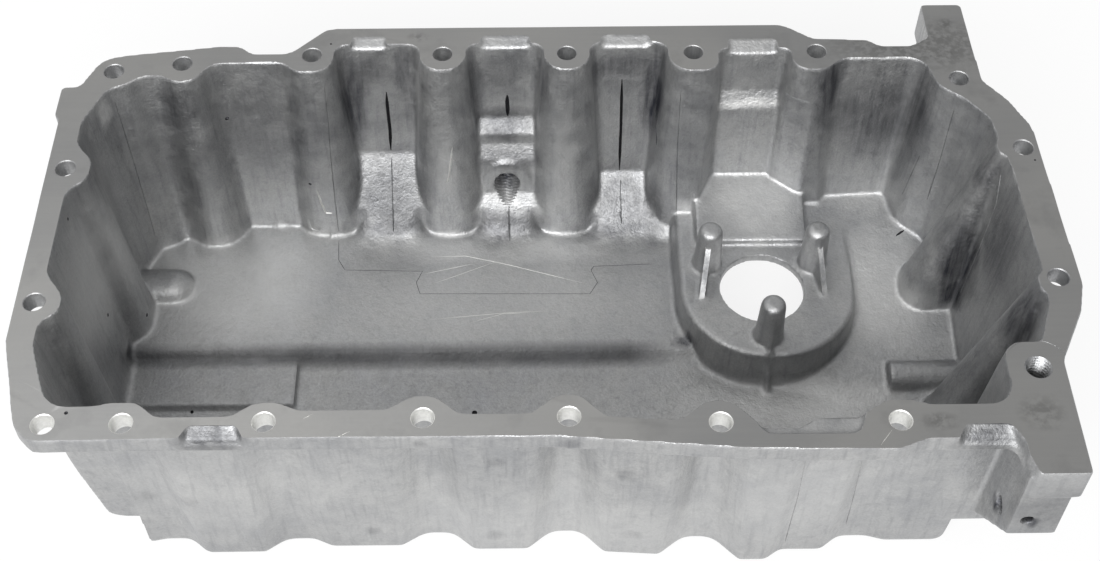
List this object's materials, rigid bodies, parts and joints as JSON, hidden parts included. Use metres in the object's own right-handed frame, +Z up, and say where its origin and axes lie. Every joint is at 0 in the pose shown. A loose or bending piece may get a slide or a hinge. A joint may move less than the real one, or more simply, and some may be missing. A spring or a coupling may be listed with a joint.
{
  "type": "engine oil pan",
  "caption": "Deep cast aluminium engine oil pan, open at the top with a bolted flange, scalloped walls, a threaded side port and a raised sensor plateau.",
  "frame": {"origin": "under the middle of the pan's outline, in the plane of the lowest underside", "axes": "+X along the length towards the end with the ears, +Y towards the side with the threaded port, +Z up out of the open mouth"},
  "size_m": [0.4456, 0.2654, 0.12],
  "materials": {
    "cast_aluminium": "as-cast, with a milled flange face"
  },
  "bodies": {
    "root": {"oil_pan": "cast_aluminium"}
  },
  "joints": []
}
